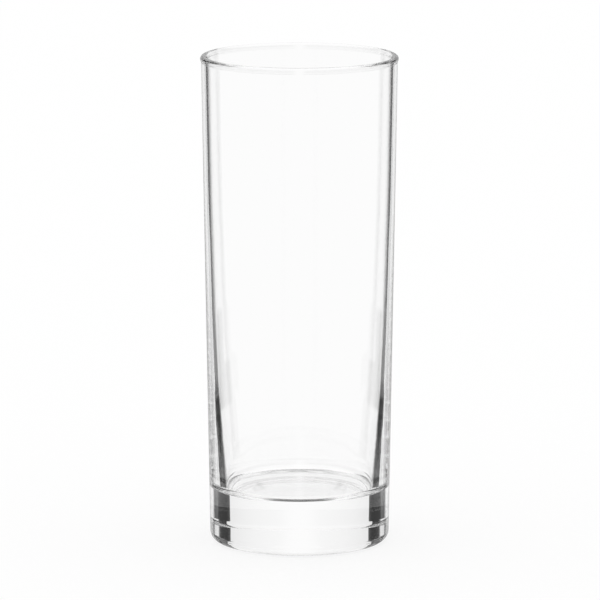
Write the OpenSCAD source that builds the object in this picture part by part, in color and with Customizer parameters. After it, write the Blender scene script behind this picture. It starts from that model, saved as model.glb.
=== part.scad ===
// Highball glass: one piece of clear pressed and blown glass.
// Lengths are in millimetres. The table is z = 0, the axis of the glass is +Z.
// Everything is one profile in radius and height, turned round the axis.

/* [Overall size] */
// Height from the table to the top of the rim
height = 160; // [130:1:190]
// Outside diameter of the mouth, over the rim bead
mouth_d = 64.3; // [58:0.1:76]
// Outside diameter of the wall's taper where it would meet the table
foot_d = 58.4; // [52:0.1:64]

/* [Rim] */
// How far the fire-polished bead stands out of the wall
bead_swell = 0.28; // [0.1:0.02:0.6]
// Radius of the hollow neck that leads from the wall into the bead
neck_r = 1.2; // [0.6:0.1:3]

/* [Wall] */
// Wall thickness just under the rim
rim_wall = 1.95; // [1.2:0.05:2.6]
// Wall thickness at the level of the floor
floor_wall = 5.3; // [3:0.1:8]
// How late the wall thickens on its way down: 1 is even, higher is later
thicken_power = 3.3; // [1.2:0.1:4.5]

/* [Base] */
// Thickness of the solid base, from the table to the floor of the hollow
base_h = 17.2; // [8:0.1:30]
// Radius of the round corner between floor and inner wall
floor_r = 2.8; // [1:0.1:6]
// Radius of the outer heel between wall and foot
heel_r = 3.2; // [1:0.1:6]
// Width of the flat ring that the glass stands on
foot_ring_w = 2; // [1:0.1:6]
// Depth of the flat hollow under the foot
under_h = 2; // [0.8:0.1:3]
// Radius of the round edge between the foot ring and the hollow under the foot
under_edge_r = 0.6; // [0.3:0.05:0.7]

/* [Hidden] */
// Smoothness of the turned surfaces
$fn = 180;
// Straight steps in the curve of the inner wall
wall_steps = 48;
// How far a cut runs past the face that it opens
overrun = 2;
// How far a round bites past a wall that it touches, so that the two cross cleanly
bite = 0.002;

foot_r = foot_d / 2;
mouth_r = mouth_d / 2;

// The bead is a full round that lies flush with the inner wall and stands proud outside.
bead_r = (rim_wall + bead_swell + bite) / 2;
bead_z = height - bead_r;
taper = (mouth_r - bead_swell - foot_r) / bead_z;
taper_angle = atan(taper);

// Radius of the outside and of the hollow, and wall thickness, at height z.
function outer_r(z) = foot_r + taper * z;
function wall_depth_share(z) = (height - z) / (height - base_h);
function wall(z) = rim_wall + (floor_wall - rim_wall) * pow(max(0, wall_depth_share(z)), thicken_power);
function inner_r(z) = outer_r(z) - wall(z);

// Along the outer wall, upwards, and square to it, outwards.
wall_dir = [sin(taper_angle), cos(taper_angle)];
wall_out = [cos(taper_angle), -sin(taper_angle)];

// Bead: its centre keeps its inner side on the inner wall, which ends inside it.
bead_c = [mouth_r - bead_r, bead_z];
wall_top = [mouth_r - bead_swell - rim_wall, bead_z];

// Neck: a round that touches the outer wall from outside and the bead from below.
bead_offset = (bead_c - [foot_r, 0]) * wall_out;
neck_reach = bead_r + neck_r - bite;
neck_drop = sqrt(pow(neck_reach, 2) - pow(neck_r - bead_offset, 2));
neck_c = bead_c + (neck_r - bead_offset) * wall_out - neck_drop * wall_dir;
neck_on_wall = neck_c - neck_r * wall_out;
neck_on_bead = bead_c + (neck_c - bead_c) * bead_r / neck_reach;

// Heel: a round that touches the table and the outer wall, which starts just inside it.
heel_c = [outer_r(heel_r) - heel_r / cos(taper_angle), heel_r];
heel_on_wall = heel_c + (heel_r - bite) * wall_out;
foot_ring_inner_r = heel_c[0] - foot_ring_w;

// Floor corner: a round that touches the floor and the inner wall.
slope_step = floor_r / wall_steps;
floor_slope = (inner_r(base_h + floor_r + slope_step) - inner_r(base_h + floor_r)) / slope_step;
floor_angle = atan(floor_slope);
floor_touch_z = base_h + floor_r * (1 - sin(floor_angle));
floor_c = [inner_r(floor_touch_z) - floor_r * cos(floor_angle) + bite, base_h + floor_r];

// Hollow under the foot: a round edge on the ring, then a hollow round up to a flat top.
under_edge_c = [foot_ring_inner_r, under_edge_r - bite];
under_round_r = under_h - under_edge_r;
under_round_c = [foot_ring_inner_r - under_edge_r - under_round_r + bite, under_edge_r];

// Inner wall from the floor corner up to the bead, as a smooth run of points.
inner_wall = [
    for (i = [0 : wall_steps - 1])
        let (z = floor_touch_z + (bead_z - floor_touch_z) * i / wall_steps)
        [inner_r(z), z]
];

// Outside: foot, heel, tapered wall, neck and bead, all filled in to the axis.
module outside_profile() {
    polygon([
        [0, 0],
        [heel_c[0], 0],
        heel_on_wall,
        neck_on_wall,
        neck_on_bead,
        bead_c,
        [0, bead_c[1]]
    ]);
    translate(heel_c)
        circle(r = heel_r);
}

// Hollow for the drink: floor, round corner and inner wall, open at the top.
module hollow_profile() {
    polygon(concat(
        [[0, base_h], [floor_c[0], base_h]],
        inner_wall,
        [wall_top, [wall_top[0], height + overrun], [0, height + overrun]]
    ));
    translate(floor_c)
        circle(r = floor_r);
}

// Hollow under the foot, open at the table.
module under_profile() {
    difference() {
        translate([0, -overrun])
            square([foot_ring_inner_r, overrun + under_edge_r]);
        translate(under_edge_c)
            circle(r = under_edge_r);
    }
    translate([0, -overrun])
        square([under_round_c[0], overrun + under_h - bite]);
    translate(under_round_c)
        circle(r = under_round_r);
}

// Right half of the section through the axis.
module glass_profile() {
    difference() {
        outside_profile();
        translate(neck_c)
            circle(r = neck_r);
        hollow_profile();
        under_profile();
    }
    translate(bead_c)
        circle(r = bead_r);
}

module tumbler() {
    color([0.86, 0.93, 0.92, 0.45])
        rotate_extrude()
            intersection() {
                glass_profile();
                square([mouth_d, height + overrun]);
            }
}

tumbler();
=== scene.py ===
# Looks of a clear highball glass: the turned glass itself, with a painted dark outline, a pale floor, and a
# white surround with dark flags, screens and far walls at its sides, which give clear glass its dark edges.
import math

import bpy
import numpy as np
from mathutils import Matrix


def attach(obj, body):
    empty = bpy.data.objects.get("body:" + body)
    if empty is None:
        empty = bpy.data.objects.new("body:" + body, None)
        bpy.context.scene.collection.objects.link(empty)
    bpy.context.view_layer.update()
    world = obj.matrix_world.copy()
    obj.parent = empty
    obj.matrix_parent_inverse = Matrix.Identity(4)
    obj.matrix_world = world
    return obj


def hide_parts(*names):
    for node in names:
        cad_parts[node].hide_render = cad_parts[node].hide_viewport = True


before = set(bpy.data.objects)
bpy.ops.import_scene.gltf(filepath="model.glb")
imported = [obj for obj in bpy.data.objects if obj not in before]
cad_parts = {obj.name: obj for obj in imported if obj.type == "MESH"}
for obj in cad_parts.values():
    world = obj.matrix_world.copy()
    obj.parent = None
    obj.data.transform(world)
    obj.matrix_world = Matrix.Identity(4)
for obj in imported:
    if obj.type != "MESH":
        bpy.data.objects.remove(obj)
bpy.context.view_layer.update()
scene = bpy.context.scene

# Sizes of the glass in metres. They are the sizes of the solid.
MM = 0.001
HEIGHT = 160 * MM
MOUTH_R = 64.3 * MM / 2
FOOT_R = 58.4 * MM / 2
BEAD_SWELL = 0.28 * MM
NECK_R = 1.2 * MM
RIM_WALL = 1.95 * MM
FLOOR_WALL = 5.3 * MM
THICKEN_POWER = 3.3
BASE_H = 17.2 * MM
FLOOR_R = 2.8 * MM
HEEL_R = 3.2 * MM
FOOT_RING_W = 2 * MM
UNDER_H = 2 * MM
UNDER_EDGE_R = 0.6 * MM

# Steps round the axis and along each stretch of the section.
AROUND = 440
UNDER_TOP_STEPS = 10
UNDER_ROUND_STEPS = 12
UNDER_EDGE_STEPS = 8
RING_STEPS = 2
HEEL_STEPS = 28
OUTER_WALL_STEPS = 12
NECK_STEPS = 8
BEAD_STEPS = 28
INNER_WALL_STEPS = 64
CORNER_STEPS = 28
FLOOR_STEPS = 12

# Plain colours in shaders
WHITE = (1, 1, 1, 1)
BLACK = (0, 0, 0, 1)

# Index of refraction of soda-lime glass
GLASS_IOR = 1.52
# Painted dark outline on the glass: how late and how far black is mixed in towards a glancing angle from
# outside
OUTLINE_SHADE_POWER = 8
OUTLINE_SHADE_DIM = 0.6
# Ripples on the inner wall near the floor: heights and radii between which they fade in, features per
# metre along each axis, and depth
RIPPLE_TOP = 48 * MM
RIPPLE_FULL = 32 * MM
RIPPLE_OUT = 27.6 * MM
RIPPLE_IN = 27 * MM
RIPPLE_SCALE = (90, 90, 330)
RIPPLE_DEPTH = 0.015 * MM

# Camera of the photograph: a long lens, looking a little down.
CAMERA_PLACE = (0, -1.8684, 0.4123)
CAMERA_TILT = math.radians(90 - 10.1)
SENSOR = 36
FOCAL_SHARE = 9.69967
AXIS_SHIFT = 0.00088
SIGHT = 100

# Surround, as round a turntable in a studio. Everything in it stands on rounds about the axis of the
# glass. Angles are from straight behind the glass, in degrees, and heights are from the table.
# White panel behind the glass, greyer towards its sides
PANEL_R = 2.4
PANEL_HALF = 46
PANEL_REACH = (-1500 * MM, 1250 * MM)
PANEL_WHITE = 0.97
PANEL_FALL = 0.19
# Black flag on each side, nearer than the panel: where it starts and ends from low to high, and the
# angles over which it thins out there
FLAG_R = 0.3
FLAG_HEIGHTS = np.array([-112, -104, -84, -64, -58, -40, -34, 40, 60, 600]) * MM
FLAG_STARTS = [38, 38, 38, 38.5, 36, 36, 38.7, 38.5, 36, 36]
FLAG_ENDS = [38, 57, 56, 54, 54, 50.5, 50, 50, 48, 48]
FLAG_FADES = (0.5, 5)
FLAG_BLACK = 0.03
# Low black strip on each side in front of the panel: its angles and heights, with soft edges
STRIP_R = 2.3
STRIP_ANGLES = (12, 16, 34, 38)
STRIP_HEIGHTS = (-1400 * MM, -1300 * MM, -945 * MM, -920 * MM)
# Dark grey screen on each side, further out than the flag, wide at the bottom and narrow above: angles
# and heights of its two parts, with soft edges
SIDE_R = 0.6
SIDE_LOW_ANGLES = (49, 52, 74, 82)
SIDE_LOW_HEIGHTS = (-152 * MM, -146 * MM, -112 * MM, -108 * MM)
SIDE_HIGH_ANGLES = (49, 52, 62, 66)
SIDE_HIGH_HEIGHTS = (-112 * MM, -108 * MM, -72 * MM, -64 * MM)
SIDE_SHADE = 0.18
# Dark far wall of the room on each side, above the level of the table, with a white window
WALL_R = 3
WALL_ANGLES = (40, 46, 170, 178)
WALL_HEIGHTS = (0, 150 * MM, 2300 * MM, 2900 * MM)
WALL_SHADE = 0.08
WINDOW_ANGLES = (54, 58, 65, 69)
WINDOW_HEIGHTS = (480 * MM, 530 * MM, 760 * MM, 810 * MM)
# Dark disc below the glass, seen only in the glass: painted shade that stands in for the shaded table under
# its foot
DISC_R = 42 * MM
DISC_Z = -60 * MM
DISC_SHADE = 0.05
# Points across and up each card, and round the disc
PANEL_ACROSS = 185
FLAG_ACROSS = 220
FLAG_UP = 130
STRIP_ACROSS = 69
STRIP_UP = 71
SIDE_ACROSS = 133
SIDE_UP = 89
WALL_ACROSS = 137
WALL_UP = 146
DISC_AROUND = 64

# Floor
FLOOR_HALF = 8
FLOOR_Z = -0.05 * MM
FLOOR_WHITE = 0.99
# Share of the floor's own white that the camera sees in place of the shaded paper
FLOOR_GLOW = 0.82

# How often light may turn inside the glass, and pass through the soft edges of cards
GLASS_BOUNCES = 128
CARD_BOUNCES = 32


def arc(centre, radius, start, end, steps):
    """A round: centre plus radius times (cos a, sin a), the angle a running evenly from start to end.
    Gives the points and the directions (cos a, sin a) away from the centre."""
    angle = np.linspace(start, end, steps + 1)
    away = np.stack([np.cos(angle), np.sin(angle)], 1)
    return np.asarray(centre) + radius * away, away


def straight(start, end, facing, steps):
    """Points spread evenly from start to end, all facing one way."""
    share = np.linspace(0, 1, steps + 1)[:, None]
    points = np.asarray(start) * (1 - share) + np.asarray(end) * share
    return points, np.tile(facing, (steps + 1, 1))


def turned_section():
    """Half section of the glass as points (radius, height) and the way each faces, from the axis under
    the foot, out over the foot ring and the heel, up the straight outer wall, over the rim bead and down
    the inner wall to the axis on the floor. The wall's thickness is its rim value plus a share of the
    extra at the floor: the depth below the rim over the depth of the hollow, to a power."""
    bead_r = (RIM_WALL + BEAD_SWELL) / 2
    bead = np.array([MOUTH_R - bead_r, HEIGHT - bead_r])
    taper = (MOUTH_R - BEAD_SWELL - FOOT_R) / bead[1]
    lean = math.atan(taper)
    out = np.array([math.cos(lean), -math.sin(lean)])
    up = np.array([math.sin(lean), math.cos(lean)])

    def outer_r(z):
        return FOOT_R + taper * z

    def inner_r(z):
        depth_share = np.maximum(0, (HEIGHT - z) / (HEIGHT - BASE_H))
        return outer_r(z) - RIM_WALL - (FLOOR_WALL - RIM_WALL) * depth_share**THICKEN_POWER

    heel = np.array([outer_r(HEEL_R) - HEEL_R / math.cos(lean), HEEL_R])
    ring_r = heel[0] - FOOT_RING_W
    under_round_r = UNDER_H - UNDER_EDGE_R
    under_top_r = ring_r - UNDER_EDGE_R - under_round_r

    gap = NECK_R - (bead - [FOOT_R, 0]) @ out
    neck = bead + gap * out - math.sqrt((bead_r + NECK_R) ** 2 - gap**2) * up
    neck_to_bead = math.atan2(bead[1] - neck[1], bead[0] - neck[0])

    slope_step = FLOOR_R / INNER_WALL_STEPS
    corner_z = BASE_H + FLOOR_R
    corner_lean = math.atan((inner_r(corner_z + slope_step) - inner_r(corner_z)) / slope_step)
    touch_z = BASE_H + FLOOR_R * (1 - math.sin(corner_lean))
    corner = [inner_r(touch_z) - FLOOR_R * math.cos(corner_lean), corner_z]

    wall_z = np.linspace(bead[1], touch_z, INNER_WALL_STEPS + 1)
    slope = np.gradient(inner_r(wall_z), wall_z)
    inner_wall = np.stack([inner_r(wall_z), wall_z], 1)
    inner_facing = np.stack([-np.ones_like(slope), slope], 1) / np.hypot(1, slope)[:, None]

    under_top, top_facing = straight([0, UNDER_H], [under_top_r, UNDER_H], [0, -1], UNDER_TOP_STEPS)
    under_round, under_away = arc(
        [under_top_r, UNDER_EDGE_R], under_round_r, math.pi / 2, 0, UNDER_ROUND_STEPS)
    edge_round, edge_facing = arc(
        [ring_r, UNDER_EDGE_R], UNDER_EDGE_R, math.pi, 1.5 * math.pi, UNDER_EDGE_STEPS)
    ring, ring_facing = straight([ring_r, 0], [heel[0], 0], [0, -1], RING_STEPS)
    heel_round, heel_facing = arc(heel, HEEL_R, -math.pi / 2, -lean, HEEL_STEPS)
    wall, wall_facing = straight(heel + HEEL_R * out, neck - NECK_R * out, out, OUTER_WALL_STEPS)
    neck_round, neck_away = arc(neck, NECK_R, math.pi - lean, neck_to_bead, NECK_STEPS)
    bead_round, bead_facing = arc(bead, bead_r, neck_to_bead - math.pi, math.pi, BEAD_STEPS)
    corner_round, corner_away = arc(corner, FLOOR_R, -corner_lean, -math.pi / 2, CORNER_STEPS)
    floor, floor_facing = straight([corner[0], BASE_H], [0, BASE_H], [0, 1], FLOOR_STEPS)

    runs = [under_top, under_round[1:], edge_round[1:], ring[1:], heel_round[1:], wall[1:], neck_round[1:],
            bead_round[1:], inner_wall[1:], corner_round[1:], floor[1:]]
    facing = [top_facing, -under_away[1:], edge_facing[1:], ring_facing[1:], heel_facing[1:], wall_facing[1:],
              -neck_away[1:], bead_facing[1:], inner_facing[1:], -corner_away[1:], floor_facing[1:]]
    return np.concatenate(runs), np.concatenate(facing)


def turned_piece(name, points, facing, around):
    """A surface of two parameters, the place s along a section and the angle t round the axis:
    (r(s) cos t, r(s) sin t, z(s)). The section starts and ends on the axis, where one point closes each
    pole. The smooth normals are the section's own, turned by the same angle."""
    turn = np.linspace(0, 2 * math.pi, around, endpoint=False)
    cos, sin, one = np.cos(turn), np.sin(turn), np.ones(around)

    def spin(table):
        r, z = table[1:-1, :1], table[1:-1, 1:]
        rings = np.stack([r * cos, r * sin, z * one], -1).reshape(-1, 3)
        poles = [[0, 0, table[0, 1]], [0, 0, table[-1, 1]]]
        return np.concatenate([rings, poles])

    rows = len(points) - 2
    index = np.arange(rows * around).reshape(rows, around)
    beside = np.roll(index, -1, 1)
    quads = np.stack([index[:-1], beside[:-1], beside[1:], index[1:]], -1).reshape(-1, 4)
    low_pole = np.stack([np.full(around, rows * around), beside[0], index[0]], -1)
    high_pole = np.stack([np.full(around, rows * around + 1), index[-1], beside[-1]], -1)
    corners = np.concatenate([quads.ravel(), low_pole.ravel(), high_pole.ravel()])
    sides = np.concatenate([np.full(len(quads), 4), np.full(2 * around, 3)])

    mesh = bpy.data.meshes.new(name)
    places = spin(points)
    mesh.vertices.add(len(places))
    mesh.vertices.foreach_set("co", places.ravel())
    mesh.loops.add(len(corners))
    mesh.loops.foreach_set("vertex_index", corners)
    mesh.polygons.add(len(sides))
    mesh.polygons.foreach_set("loop_start", np.concatenate([[0], np.cumsum(sides)[:-1]]))
    mesh.update(calc_edges=True)
    mesh.validate()
    mesh.shade_smooth()
    mesh.normals_split_custom_set_from_vertices(spin(facing))
    return mesh


def smooth(low, high, value):
    """A soft step: 0 below low, 1 above high, and 3 s^2 - 2 s^3 between them, s being the share of the
    way from low to high."""
    share = np.clip((value - low) / (high - low), 0, 1)
    return share**2 * (3 - 2 * share)


def band(edges, value):
    """A soft band: 0 outside the first and last edge, 1 between the two in the middle."""
    return smooth(edges[0], edges[1], value) - smooth(edges[2], edges[3], value)


def soft_edge(middle, width, value):
    """A soft step of a given width about its middle."""
    return smooth(middle - width / 2, middle + width / 2, value)


def shade_points(mesh, shape, shade, cover):
    """Gives each point of a card its shade and how far it covers what is behind it."""
    for what, values in (("shade", shade), ("cover", cover)):
        layer = mesh.attributes.new(what, "FLOAT", "POINT")
        layer.data.foreach_set("value", (values + np.zeros(shape)).ravel())


def curved_card(name, radius, angle, height, shade, cover):
    """A surface of two parameters, the angle t about the axis of the glass and the height z:
    (d sin t, d cos t, z) with d the radius that it stands on. Angle 0 is straight behind the glass."""
    turn, z = np.meshgrid(np.radians(angle), height)
    places = np.stack([radius * np.sin(turn), radius * np.cos(turn), z], -1).reshape(-1, 3)
    index = np.arange(turn.size).reshape(turn.shape)
    faces = np.stack([index[:-1, :-1], index[1:, :-1], index[1:, 1:], index[:-1, 1:]], -1).reshape(-1, 4)
    mesh = bpy.data.meshes.new(name)
    mesh.from_pydata(places.tolist(), [], faces.tolist())
    shade_points(mesh, turn.shape, shade, cover)
    return mesh


def stage_piece(mesh, material):
    """Puts a mesh that is not part of the glass into the scene."""
    thing = bpy.data.objects.new(mesh.name, mesh)
    thing.data.materials.append(material)
    scene.collection.objects.link(thing)
    return thing


def stage_card(mesh, material):
    """Puts a card into the scene, where it shows only in the glass."""
    card = stage_piece(mesh, material)
    card.visible_camera = False
    card.visible_diffuse = False
    card.visible_shadow = False
    return card


class Wire:
    """An output of a node in a material. Sums of wires and numbers add Math nodes to that material."""

    def __init__(self, tree, socket=None):
        self.tree = tree
        self.socket = socket

    def node(self, kind, settings, inputs, output=0):
        """Adds a node: its settings first, then a value or a wire for each input. Gives one of its
        outputs, if it has any."""
        node = self.tree.nodes.new(kind)
        for setting, value in settings.items():
            setattr(node, setting, value)
        for name, value in inputs.items():
            if isinstance(value, Wire):
                self.tree.links.new(value.socket, node.inputs[name])
            else:
                node.inputs[name].default_value = value
        return Wire(self.tree, node.outputs[output] if node.outputs else None)

    def math(self, operation, first, second):
        """A Math node on two wires or numbers."""
        return self.node("ShaderNodeMath", {"operation": operation}, {0: first, 1: second})

    def __mul__(self, other):
        return self.math("MULTIPLY", self, other)

    def __rmul__(self, other):
        return self.math("MULTIPLY", other, self)

    def __sub__(self, other):
        return self.math("SUBTRACT", self, other)

    def __rsub__(self, other):
        return self.math("SUBTRACT", other, self)

    def __pow__(self, other):
        return self.math("POWER", self, other)

    def __rpow__(self, other):
        return self.math("POWER", other, self)


def material_start(name):
    """An empty material and the start of its nodes."""
    material = bpy.data.materials.new(name)
    material.use_nodes = True
    material.node_tree.nodes.clear()
    return material, Wire(material.node_tree)


def clear_glass():
    """Clear, fire-polished soda-lime glass. At a glancing angle from outside a little black is mixed in as a
    painted dark outline, and low on the inner wall it keeps faint ripples from the mould."""
    material, start = material_start("clear_glass")
    place = start.node("ShaderNodeTexCoord", {}, {}, "Object")
    height = start.node("ShaderNodeSeparateXYZ", {}, {"Vector": place}, "Z")
    level = start.node("ShaderNodeVectorMath", {"operation": "MULTIPLY"}, {0: place, 1: (1, 1, 0)})
    radius = start.node("ShaderNodeVectorMath", {"operation": "LENGTH"}, {0: level}, "Value")
    low = start.node("ShaderNodeMapRange", {"interpolation_type": "SMOOTHSTEP"}, {
        "Value": height, "From Min": RIPPLE_TOP, "From Max": RIPPLE_FULL})
    inside = start.node("ShaderNodeMapRange", {"interpolation_type": "SMOOTHSTEP"}, {
        "Value": radius, "From Min": RIPPLE_OUT, "From Max": RIPPLE_IN})
    stretched = start.node("ShaderNodeVectorMath", {"operation": "MULTIPLY"}, {0: place, 1: RIPPLE_SCALE})
    noise = start.node("ShaderNodeTexNoise", {}, {"Vector": stretched, "Scale": 1, "Detail": 1})
    ripple = start.node("ShaderNodeBump", {}, {
        "Strength": 1, "Distance": RIPPLE_DEPTH, "Height": noise * low * inside})
    glass = start.node("ShaderNodeBsdfPrincipled", {}, {
        "Base Color": WHITE, "Transmission Weight": 1, "IOR": GLASS_IOR, "Roughness": 0,
        "Normal": ripple})
    # Painted shade: black mixed into the glass at a glancing angle from outside, a painted dark outline
    painted_outline = start.node("ShaderNodeBsdfDiffuse", {}, {"Color": BLACK})
    glancing = start.node("ShaderNodeLayerWeight", {}, {}, "Facing") ** OUTLINE_SHADE_POWER
    from_inside = start.node("ShaderNodeNewGeometry", {}, {}, "Backfacing")
    outline_shade_share = glancing * (1 - from_inside) * OUTLINE_SHADE_DIM
    surface = start.node("ShaderNodeMixShader", {}, {0: outline_shade_share, 1: glass, 2: painted_outline})
    start.node("ShaderNodeOutputMaterial", {}, {"Surface": surface})
    return material


def studio_card():
    """Cloth or paper that gives off its own shade, and lets the white behind it through at a soft edge."""
    material, start = material_start("studio_card")
    shade = start.node("ShaderNodeAttribute", {"attribute_name": "shade"}, {}, "Fac")
    cover = start.node("ShaderNodeAttribute", {"attribute_name": "cover"}, {}, "Fac")
    surface = start.node("ShaderNodeBsdfPrincipled", {}, {
        "Base Color": BLACK, "Specular IOR Level": 0, "Emission Color": shade, "Emission Strength": 1,
        "Alpha": cover})
    start.node("ShaderNodeOutputMaterial", {}, {"Surface": surface})
    return material


def pale_floor():
    """Matt white paper that keeps a faint shadow of the glass for the camera."""
    material, start = material_start("pale_floor")
    paper = start.node("ShaderNodeBsdfPrincipled", {}, {
        "Base Color": (FLOOR_WHITE, FLOOR_WHITE, FLOOR_WHITE, 1), "Specular IOR Level": 0, "Roughness": 1})
    glow = start.node("ShaderNodeEmission", {}, {"Color": WHITE, "Strength": 1})
    to_camera = start.node("ShaderNodeLightPath", {}, {}, "Is Camera Ray")
    surface = start.node("ShaderNodeMixShader", {}, {0: to_camera * FLOOR_GLOW, 1: paper, 2: glow})
    start.node("ShaderNodeOutputMaterial", {}, {"Surface": surface})
    return material


# The glass
tumbler = bpy.data.objects.new("clear_tumbler", turned_piece("clear_tumbler", *turned_section(), AROUND))
tumbler.data.materials.append(clear_glass())
scene.collection.objects.link(tumbler)
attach(tumbler, "root")
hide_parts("tumbler")

# Camera
camera = bpy.data.objects.new("camera", bpy.data.cameras.new("camera"))
scene.collection.objects.link(camera)
camera.location = CAMERA_PLACE
camera.rotation_euler = (CAMERA_TILT, 0, 0)
camera.data.sensor_width = SENSOR
camera.data.lens = FOCAL_SHARE * SENSOR
camera.data.shift_x = AXIS_SHIFT
camera.data.clip_end = SIGHT
scene.camera = camera

# White surround and floor
world = bpy.data.worlds.new("white_surround")
world.use_nodes = True
world.node_tree.nodes["Background"].inputs["Color"].default_value = WHITE
scene.world = world

floor_mesh = bpy.data.meshes.new("floor")
floor_mesh.from_pydata(
    [(-FLOOR_HALF, -FLOOR_HALF, FLOOR_Z), (FLOOR_HALF, -FLOOR_HALF, FLOOR_Z),
     (FLOOR_HALF, FLOOR_HALF, FLOOR_Z), (-FLOOR_HALF, FLOOR_HALF, FLOOR_Z)], [], [(0, 1, 2, 3)])
floor = stage_piece(floor_mesh, pale_floor())
floor.visible_glossy = False
floor.visible_transmission = False

# The cards stand the same way to the camera from every side, as round a turntable.
panel_angle = np.linspace(-PANEL_HALF, PANEL_HALF, PANEL_ACROSS)
panel_shade = PANEL_WHITE - PANEL_FALL * (panel_angle / PANEL_HALF)**2
flag_angle = np.linspace(min(FLAG_STARTS) - FLAG_FADES[0], max(FLAG_ENDS) + FLAG_FADES[1], FLAG_ACROSS)
flag_height = np.concatenate([np.linspace(FLAG_HEIGHTS[0], FLAG_HEIGHTS[-2], FLAG_UP), FLAG_HEIGHTS[-1:]])
flag_start = np.interp(flag_height, FLAG_HEIGHTS, FLAG_STARTS)[:, None]
flag_end = np.interp(flag_height, FLAG_HEIGHTS, FLAG_ENDS)[:, None]
flag_cover = (soft_edge(flag_start, FLAG_FADES[0], flag_angle)
              - soft_edge(flag_end, FLAG_FADES[1], flag_angle))
strip_angle = np.linspace(STRIP_ANGLES[0], STRIP_ANGLES[3], STRIP_ACROSS)
strip_height = np.linspace(STRIP_HEIGHTS[0], STRIP_HEIGHTS[3], STRIP_UP)
strip_cover = band(STRIP_ANGLES, strip_angle) * band(STRIP_HEIGHTS, strip_height)[:, None]
side_angle = np.linspace(SIDE_HIGH_ANGLES[0], SIDE_LOW_ANGLES[3], SIDE_ACROSS)
side_height = np.linspace(SIDE_LOW_HEIGHTS[0], SIDE_HIGH_HEIGHTS[3], SIDE_UP)
side_cover = (band(SIDE_LOW_ANGLES, side_angle) * band(SIDE_LOW_HEIGHTS, side_height)[:, None]
              + band(SIDE_HIGH_ANGLES, side_angle) * band(SIDE_HIGH_HEIGHTS, side_height)[:, None])
wall_angle = np.linspace(WALL_ANGLES[0], WALL_ANGLES[3], WALL_ACROSS)
wall_height = np.linspace(WALL_HEIGHTS[0], WALL_HEIGHTS[3], WALL_UP)
window = band(WINDOW_ANGLES, wall_angle) * band(WINDOW_HEIGHTS, wall_height)[:, None]
wall_cover = band(WALL_ANGLES, wall_angle) * band(WALL_HEIGHTS, wall_height)[:, None] * (1 - window)
cards = [curved_card("white_panel", PANEL_R, panel_angle, PANEL_REACH, panel_shade, 1)]
for name, radius, angle, height, shade, cover in (
        ("black_flag", FLAG_R, flag_angle, flag_height, FLAG_BLACK, flag_cover),
        ("black_strip", STRIP_R, strip_angle, strip_height, FLAG_BLACK, strip_cover),
        ("side_screen", SIDE_R, side_angle, side_height, SIDE_SHADE, side_cover),
        ("far_wall", WALL_R, wall_angle, wall_height, WALL_SHADE, wall_cover)):
    cards.append(curved_card(name + "_right", radius, angle, height, shade, cover))
    cards.append(curved_card(name + "_left", radius, -angle, height, shade, cover))
card_cloth = studio_card()
bpy.context.view_layer.update()
for mesh in cards:
    card = stage_card(mesh, card_cloth)
    card.parent = camera
    card.matrix_parent_inverse = camera.matrix_world.inverted()

# Dark disc below the table: painted shade for the glass to show under its foot
disc_turn = np.linspace(0, 2 * math.pi, DISC_AROUND, endpoint=False)
disc_points = np.stack(
    [DISC_R * np.cos(disc_turn), DISC_R * np.sin(disc_turn), np.full(DISC_AROUND, DISC_Z)], 1)
disc_mesh = bpy.data.meshes.new("dark_disc")
disc_mesh.from_pydata(disc_points.tolist(), [], [list(range(DISC_AROUND))])
shade_points(disc_mesh, DISC_AROUND, DISC_SHADE, 1)
stage_card(disc_mesh, card_cloth)

scene.view_settings.view_transform = "Standard"
scene.cycles.max_bounces = GLASS_BOUNCES
scene.cycles.transmission_bounces = GLASS_BOUNCES
scene.cycles.glossy_bounces = GLASS_BOUNCES
scene.cycles.transparent_max_bounces = CARD_BOUNCES
